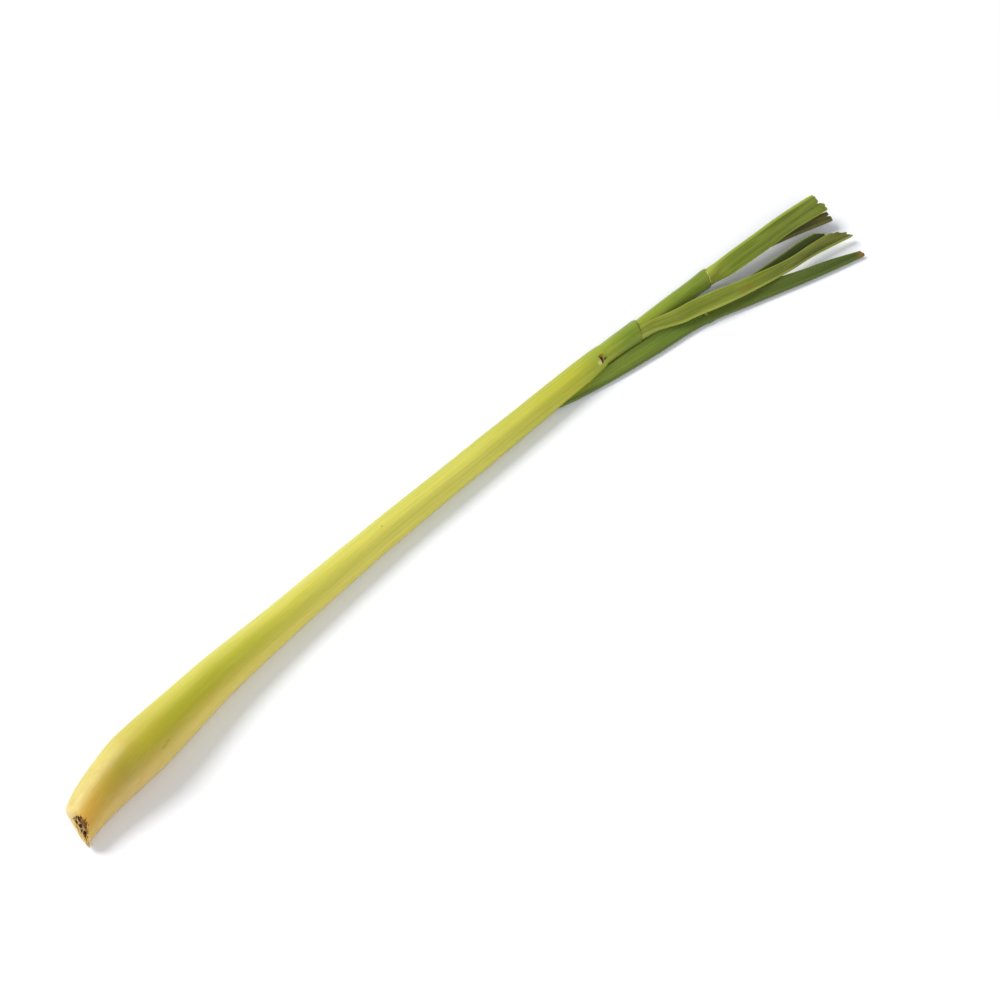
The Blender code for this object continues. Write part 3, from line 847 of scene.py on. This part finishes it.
def measure(fibre, label):
    """The mesh's "rim" or "edge" value, in the tree of the grain coordinates."""
    return add("ShaderNodeAttribute", {}, fibre.id_data, attribute_name=label).outputs["Fac"]


def ramp(x, stops):
    """A colour that changes along the stalk, from swatches at places in millimetres."""
    start, length = -10.0, 450.0
    share = add("ShaderNodeMapRange", {0: x, 1: start, 2: start + length, 3: 0.0, 4: 1.0}).outputs[0]
    node = add("ShaderNodeValToRGB", {0: share})
    elements = node.color_ramp.elements
    while len(elements) < len(stops):
        elements.new(0.5)
    for element, (place, swatch) in zip(elements, stops):
        element.position = (place - start) / length
        element.color = rgb(*swatch)
    return node.outputs[0]


def way_round(y, z):
    """The direction in degrees round a sheath, from -60 to 300."""
    way = times(reckon("ARCTAN2", z, y), 180.0 / math.pi)
    return plus(way, times(reckon("LESS_THAN", way, -60.0), 360.0))


# The sheath's colour on its lit side, in its middle and on its shaded side: its own colour mixed with painted
# light, paler towards the key lamp, painted shade in the middle and painted bounce light lifting the shaded
# side.
SUNNY = (
    (0, (215, 195, 118)), (20, (213, 199, 106)), (36, (202, 190, 80)), (60, (207, 199, 84)),
    (100, (210, 205, 94)), (160, (212, 208, 98)), (220, (201, 199, 86)), (280, (184, 186, 62)),
    (300, (174, 180, 56)),
)
MIDDLE = (
    (0, (206, 156, 56)), (10, (184, 152, 44)), (22, (162, 144, 38)), (36, (180, 163, 42)),
    (66, (190, 172, 46)), (100, (191, 187, 62)), (160, (215, 206, 91)), (220, (216, 209, 93)),
    (280, (192, 190, 62)), (300, (170, 175, 55)),
)
SHADED = (
    (0, (217, 185, 98)), (20, (210, 180, 106)), (60, (221, 199, 94)), (100, (222, 205, 92)),
    (160, (219, 208, 86)), (220, (216, 209, 84)), (280, (192, 192, 57)), (300, (166, 174, 50)),
)


def sheath_finish():
    """Waxy outer sheath: cream and peach at the bulb, a green flush on top, tan below, lime higher up, under
    painted light and shade.
    """
    made, shader, relief, fibre = new_finish("waxy_pale_sheath", 0.5, 0.04, 0.3, 0.08)
    rim, edge = measure(fibre, "rim"), measure(fibre, "edge")
    x, y, z = split(fibre)
    way = way_round(y, z)
    # The main colours run along the stalk in three soft bands, whose borders waver: partly own colour, partly
    # painted light on the lit side, painted shade in the middle and painted bounce light on the shaded side.
    cloud = patches(fibre, 9.0, 5.0, 0.3, 0.7)
    way = plus(way, times(minus(cloud, 0.5), 7.0))
    colour = blend(near(way, 117.0, 66.0), ramp(x, SHADED), ramp(x, MIDDLE))
    from_lit = reckon("ABSOLUTE", minus(way, 20.0))
    colour = blend(spread(from_lit, 38.0, 88.0, 1.0, 0.0), colour, ramp(x, SUNNY))
    flush = times(near(way, 106.0, 52.0), near(x, 64.0, 52.0))
    colour = lay(colour, flush, 0.45, rgb(150, 170, 34))
    # Mottles at the bulb, veins and long streaks further up.
    mottle = patches(fibre, 3.6, 1.3, 0.45, 0.75)
    colour = lay(colour, mottle, spread(x, 15.0, 60.0, 0.26, 0.0), rgb(190, 142, 48))
    veins = use(VEINS, Fibre=fibre, Veins_per_mm=2.8, Run=0.008)
    veined = spread(x, 20.0, 220.0, 0.06, 0.22)
    colour = lay(colour, veins["Mask"], veined, rgb(176, 178, 64), "MULTIPLY")
    colour = lay(colour, patches(fibre, 1.6, 24.0, 0.5, 0.78), 0.05, rgb(252, 246, 176))
    green_end = times(spread(x, 284.0, 300.0), spread(way, 178.0, 120.0, 0.35, 1.0))
    colour = lay(colour, green_end, 0.8, rgb(154, 168, 54))
    # The pale skin that turns in at the cut's upper side, brightened above its own pale colour as painted
    # light on a face turned from the lamps.
    to_far_side = minus(times(y, 0.14), times(z, 0.08))
    pale_turn = times(spread(edge, 3.4, 0.0), spread(to_far_side, -0.4, 0.6))
    colour = lay(colour, pale_turn, 0.9, rgb(236, 206, 150))
    pale_mark = ((295.9, -3.7, 3.2), (2.4, 1.1, 1.2), 0.5, (232, 220, 150))
    colour = marked(colour, fibre, (pale_mark,), 0.65)
    brown_marks = (
        ((297.6, -2.0, 4.4), (2.1, 0.8, 0.8), 0.5, (132, 84, 24)),
        ((298.6, -3.6, 3.2), (1.4, 0.9, 0.9), 0.5, (96, 62, 20)),
        ((171.0, -0.6, 5.9), (0.5, 0.28, 0.4), 0.1, (84, 80, 32)),
        ((156.0, -3.6, 4.9), (0.5, 0.3, 0.4), 0.1, (164, 152, 66)),
        ((40.0, -8.7, 5.4), (2.2, 0.6, 0.7), 0.4, (176, 158, 62)),
        ((42.2, -8.3, 6.0), (1.4, 0.5, 0.7), 0.4, (174, 158, 60)),
    )
    colour = marked(colour, fibre, brown_marks, 0.85)
    # Dry edges at the cut and the lip.
    broken = patches(fibre, 0.6, 1.6, 0.36, 0.66)
    dry = times(rim, plus(times(broken, 0.9), 0.35))
    dry = spread(dry, 0.16, 0.7)
    colour = blend(dry, colour, rgb(132, 84, 26))
    colour = lay(colour, spread(rim, 0.7, 1.0), broken, rgb(74, 42, 14))
    link(colour, shader["Base Color"])
    rough = plus(times(veins["Mask"], 0.10), times(dry, 0.35))
    link(plus(rough, 0.46), shader["Roughness"])
    link(plus(veins["Height"], times(dry, broken)), relief)
    return made


def leaf_finish(name, outer, inner, rib, torn_tint, dryness=0.3, marks=(), roughness=0.42):
    """A grass leaf: parallel veins, a pale midrib, light margins, its inner face, marks and dry torn ends."""
    made, shader, relief, fibre = new_finish(name, roughness, 0.10, 0.5, 0.06)
    x, reach, side = split(fibre)
    veins = use(VEINS, Fibre=fibre, Veins_per_mm=2.4, Run=0.012)
    cloud = patches(fibre, 3.0, 8.0, 0.38, 0.68)
    colour = lay(ramp(x, outer), veins["Mask"], 0.42, rgb(150, 160, 84), "MULTIPLY")
    colour = lay(colour, cloud, 0.30, rgb(*rib))
    # The inner face's colour, which on the second blade is painted shade.
    colour = blend(spread(side, 0.0, -0.6, 0.0, 0.9), colour, rgb(*inner))
    midrib = times(near(reach, 0.0, 0.75), 0.8)
    light_margin = times(spread(measure(fibre, "edge"), 0.75, 0.15), 0.55)
    colour = blend(reckon("MAXIMUM", midrib, light_margin), colour, rgb(*rib))
    colour = marked(colour, fibre, marks, 0.9)
    torn = patches(fibre, 0.6, 2.5, 0.40, 0.62)
    dry = spread(times(measure(fibre, "rim"), plus(torn, dryness)), 0.2, 0.9)
    link(blend(dry, colour, rgb(*torn_tint)), shader["Base Color"])
    link(plus(times(cloud, 0.10), roughness - 0.05), shader["Roughness"])
    link(veins["Height"], relief)
    return made


def shoot_finish(name, outer, light, mouth, band):
    """A green inner sheath: lighter at its foot, with fine veins, a light margin and a dark mouth."""
    made, shader, relief, fibre = new_finish(name, 0.40, 0.14, 0.4, 0.08)
    x, y, z = split(fibre)
    cloud = patches(fibre, 2.4, 7.0, 0.36, 0.68)
    veins = use(VEINS, Fibre=fibre, Veins_per_mm=2.8, Run=0.012)
    colour = lay(ramp(x, outer), cloud, 0.3, rgb(*light))
    colour = lay(colour, veins["Mask"], 0.35, rgb(168, 176, 92), "MULTIPLY")
    colour = lay(colour, near(way_round(y, z), 194.0, 13.0), band, rgb(*light))
    colour = blend(spread(measure(fibre, "rim"), 0.35, 0.9), colour, rgb(*mouth))
    link(colour, shader["Base Color"])
    link(plus(times(cloud, 0.1), 0.35), shader["Roughness"])
    link(veins["Height"], relief)
    return made


def cut_finish(name, bright, brown, dark):
    """Dry torn root: straw strands, brown between them and painted shade, almost black, in the gaps and the
    hollow.
    """
    made, shader, relief, fibre = new_finish(name, 0.75, 0.0, 0.8)
    standing = split(fibre)[0]
    strands = use(VEINS, Fibre=fibre, Veins_per_mm=3.2, Run=0.25)
    clumps = patches(fibre, 1.1, 1.5, 0.34, 0.66)
    colour = blend(clumps, rgb(*brown), rgb(*bright))
    # Painted shade: the dark colour goes into the gaps between strands, down the rings where they sink and
    # down the hollow's wall.
    colour = lay(colour, strands["Mask"], 0.55, rgb(*dark))
    colour = blend(spread(standing, 0.75, 0.15), colour, rgb(*dark))
    link(colour, shader["Base Color"])
    link(strands["Height"], relief)
    return made


def strand_finish(name, low, high, brown, root):
    """Dry torn plant layers: bright along their torn edges where they are fresh, with painted shade towards
    their feet.
    """
    made, shader, relief, fibre = new_finish(name, 0.7, 0.0, 0.6)
    strands = use(VEINS, Fibre=fibre, Veins_per_mm=2.4, Run=0.12)
    clumps = patches(fibre, 0.9, 3.0, 0.36, 0.64)
    colour = blend(clumps, rgb(*low), rgb(*high))
    colour = lay(colour, strands["Mask"], 0.5, rgb(*brown))
    colour = blend(measure(fibre, "edge"), rgb(*brown), colour)
    # Painted shade at the feet, where each layer or scale stands out of the surface below it.
    colour = blend(spread(measure(fibre, "rim"), 0.16, 0.62), colour, rgb(*root))
    link(colour, shader["Base Color"])
    link(strands["Height"], relief)
    return made


def floor_finish():
    made = bpy.data.materials.new("plain_pale_floor")
    made.use_nodes = True
    shader = made.node_tree.nodes["Principled BSDF"]
    shader.inputs["Base Color"].default_value = (0.96, 0.96, 0.965, 1.0)
    shader.inputs["Roughness"].default_value = 0.9
    shader.inputs["Specular IOR Level"].default_value = 0.1
    return made


# Setting


def floor():
    data = bpy.data.meshes.new("floor")
    half, level = 6.0, -0.0002
    corners = [(sx * half, sy * half, level) for sx, sy in ((-1, -1), (1, -1), (1, 1), (-1, 1))]
    data.from_pydata(corners, [], [(0, 1, 2, 3)])
    data.materials.append(floor_finish())
    place("floor", data)


def facing(obj, target):
    obj.rotation_euler = (Vector(target) - obj.location).to_track_quat("-Z", "Y").to_euler()


def lamp(name, location, target, size, power, tint):
    data = bpy.data.lights.new(name, "AREA")
    data.shape = "DISK"
    data.size = size
    data.energy = power
    data.color = tint
    made = place(name, data)
    made.location = location
    facing(made, target)


def lights():
    world = bpy.data.worlds.new("studio")
    world.use_nodes = True
    world.node_tree.nodes["Background"].inputs[0].default_value = (0.84, 0.90, 1.0, 1.0)
    world.node_tree.nodes["Background"].inputs[1].default_value = 0.34
    bpy.context.scene.world = world
    lamp("key", (-0.81, 1.71, 2.07), (0.0, 0.0, 0.0), 1.6, 71.0, (1.0, 0.99, 0.985))
    lamp("fill", (-0.91, -1.3, 1.5), (0.0, 0.0, 0.0), 1.6, 20.0, (0.99, 0.99, 1.0))
    bpy.context.scene.view_settings.view_transform = "Standard"


def camera():
    data = bpy.data.cameras.new("camera")
    data.lens = 110.0
    data.sensor_width = 36.0
    made = place("camera", data)
    azimuth, elevation, distance = math.radians(-46.0), math.radians(50.0), 1.2076
    level = math.cos(elevation)
    back = Vector((math.sin(azimuth) * level, -math.cos(azimuth) * level, math.sin(elevation)))
    aim = Vector(to_row_frame(np.array([219.46, 3.32, 0.0])))
    made.location = aim + back * distance
    facing(made, aim)
    bpy.context.scene.camera = made


def root_end():
    """The rolled sheath with its cut, and what stands in the cut."""
    outer_sheath(sheath_finish())
    # The last colour is painted shade in the root's gaps.
    root_face(cut_finish("torn_root", (196, 154, 84), (112, 72, 28), (38, 20, 8)))
    # The last colour is painted shade at the layers' feet.
    frayed = ((222, 178, 98), (246, 222, 154), (122, 80, 32), (60, 32, 10))
    frayed = strand_finish("frayed_root_layers", *frayed)
    torn_layers(frayed)
    root_fibres(frayed)


def inner_sheaths():
    second = shoot_finish(
        "second_sheath_green",
        outer=((296, (170, 178, 52)), (312, (130, 150, 46)), (322, (124, 145, 45))),
        light=(170, 182, 74),
        mouth=(98, 94, 32),
        band=0.7,
    )
    inner_sheath("second_leaf", SECOND_PROFILE, THIRD_ROOM, 1.8, 71, second)
    third = shoot_finish(
        "third_sheath_green",
        outer=((320, (152, 164, 48)), (345, (128, 148, 45)), (363, (122, 142, 44))),
        light=(160, 174, 62),
        mouth=(132, 120, 56),
        band=0.0,
    )
    inner_sheath("third_leaf", THIRD_PROFILE, INNER_ROOM, 1.7, 81, third)


def blades():
    second = leaf_finish(
        "second_blade_green",
        outer=((320, (142, 152, 47)), (375, (134, 145, 45)), (400, (112, 118, 41)), (428, (108, 108, 39))),
        # Its inner face is painted dark: painted shade where its upper half hangs over it.
        inner=(54, 66, 26),
        rib=(170, 178, 74),
        torn_tint=(124, 104, 44),
        marks=(
            ((369.5, -2.0, 1.0), (6.0, 0.7, 3.0), 0.5, (144, 126, 42)),
            ((371.5, -1.9, 1.0), (2.4, 0.5, 3.0), 0.4, (152, 114, 36)),
        ),
    )
    third = leaf_finish(
        "third_blade_green",
        outer=((360, (166, 174, 62)), (376, (130, 145, 45)), (410, (112, 125, 42)), (428, (120, 132, 44))),
        inner=(96, 110, 34),
        rib=(164, 176, 68),
        torn_tint=(160, 156, 76),
    )
    inner = leaf_finish(
        "inner_blade_dark",
        outer=((360, (72, 80, 30)), (428, (84, 80, 32))),
        inner=(48, 52, 22),
        rib=(106, 104, 48),
        torn_tint=(120, 100, 48),
        roughness=0.55,
    )
    # The side blade's colours are lifted above its own green as painted light where the stalk shades it, and
    # its rib colour along the lower edge is painted shade.
    side = leaf_finish(
        "side_blade_green",
        outer=(
            (280, (140, 156, 52)),
            (318, (124, 144, 48)),
            (346, (104, 124, 42)),
            (352, (102, 117, 39)),
            (420, (80, 94, 34)),
        ),
        inner=(70, 84, 30),
        rib=(92, 108, 40),
        torn_tint=(126, 96, 40),
        dryness=0.9,
        marks=(
            ((348.4, -3.2, 1.0), (0.9, 1.7, 3.0), 0.3, (92, 74, 30)),
            ((349.6, -2.9, 1.0), (0.9, 1.5, 3.0), 0.3, (166, 152, 88)),
            ((423.4, 0.0, 0.0), (4.0, 4.0, 4.0), 0.4, (140, 106, 42)),
        ),
        roughness=0.5,
    )
    blade_piece("second_leaf_blade", SECOND_BLADE, second)
    blade_piece("third_leaf_blade", THIRD_BLADE, third)
    blade_piece("inner_leaf_blade", INNER_BLADE, inner, "inner_leaf")
    blade_piece("side_leaf_blade", SIDE_BLADE, side, "side_leaf")


def collar_scales():
    # The last colour of each is painted shade at the scale's foot.
    papery = ((192, 188, 84), (226, 220, 132), (150, 126, 50), (120, 124, 44))
    papery = strand_finish("papery_ligule", *papery)
    brown = ((96, 66, 20), (140, 104, 40), (60, 34, 12), (52, 34, 10))
    brown = strand_finish("brown_ligule", *brown)
    core, stalk = core_line, stalk_line
    # The name, line, x, radius, start, end, height, flare, lean, seed, finish and slot of each.
    scales = (
        ("third_collar_ligule", core, 362.7, 3.82, 80.0, 160.0, 0.55, 0.14, 1.5, 91, papery, "young_leaf"),
        ("third_collar_brown_edge", core, 362.6, 3.82, 150.0, 216.0, 0.6, 0.12, 1.5, 97, brown, "young_leaf"),
        ("second_collar_brown_edge", core, 320.5, 4.62, 84.0, 150.0, 0.5, 0.1, 1.6, 99, brown, "green_leaf"),
        ("first_collar_flap", stalk, 297.4, 4.92, 114.0, 150.0, 1.1, 0.16, 0.9, 94, brown, "pale_sheath"),
    )
    for scale in scales:
        ligule(*scale)


floor()
camera()
lights()
root_end()
inner_sheaths()
blades()
collar_scales()
